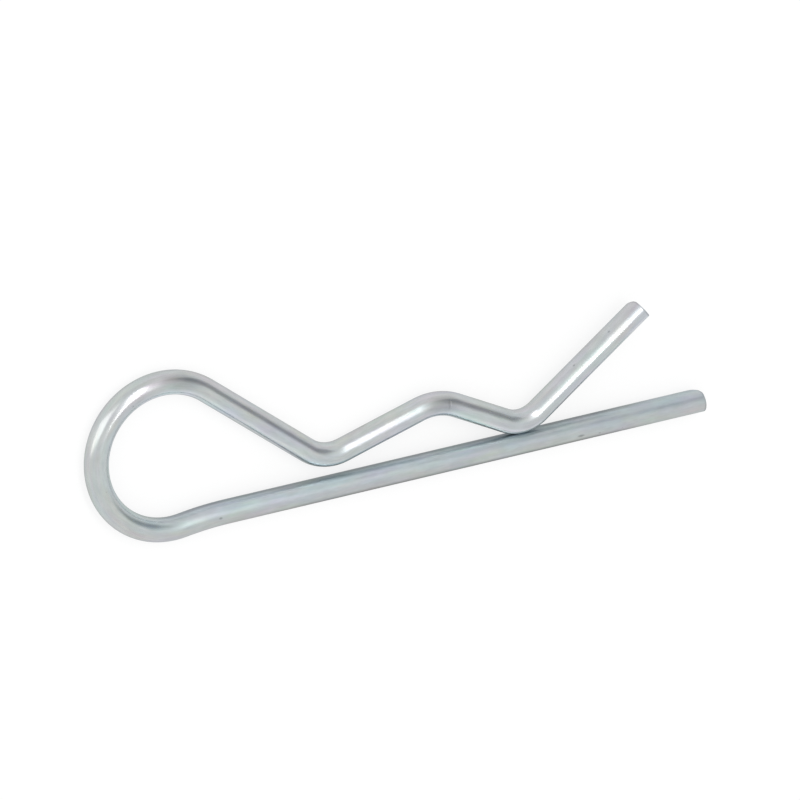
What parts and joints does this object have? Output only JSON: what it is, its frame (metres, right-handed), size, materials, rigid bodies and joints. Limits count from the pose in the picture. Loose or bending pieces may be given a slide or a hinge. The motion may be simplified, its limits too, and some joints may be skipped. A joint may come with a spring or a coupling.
{
  "type": "hitch pin r-clip",
  "caption": "Bent spring wire clip with a pull loop, a straight leg and a wavy free arm, which locks a drilled hitch pin.",
  "frame": {"origin": "the point where the axis of the straight leg crosses the axis of the hitch pin, under the hump of the free arm", "axes": "+X along the straight leg to its cut end, +Y from the leg to the free arm, +Z along the hitch pin, which is up when the clip lies flat"},
  "size_m": [0.111, 0.0285, 0.0058],
  "materials": {
    "zinc_plated_wire": "bright zinc plate"
  },
  "bodies": {
    "root": {"clip": "zinc_plated_wire"}
  },
  "joints": []
}
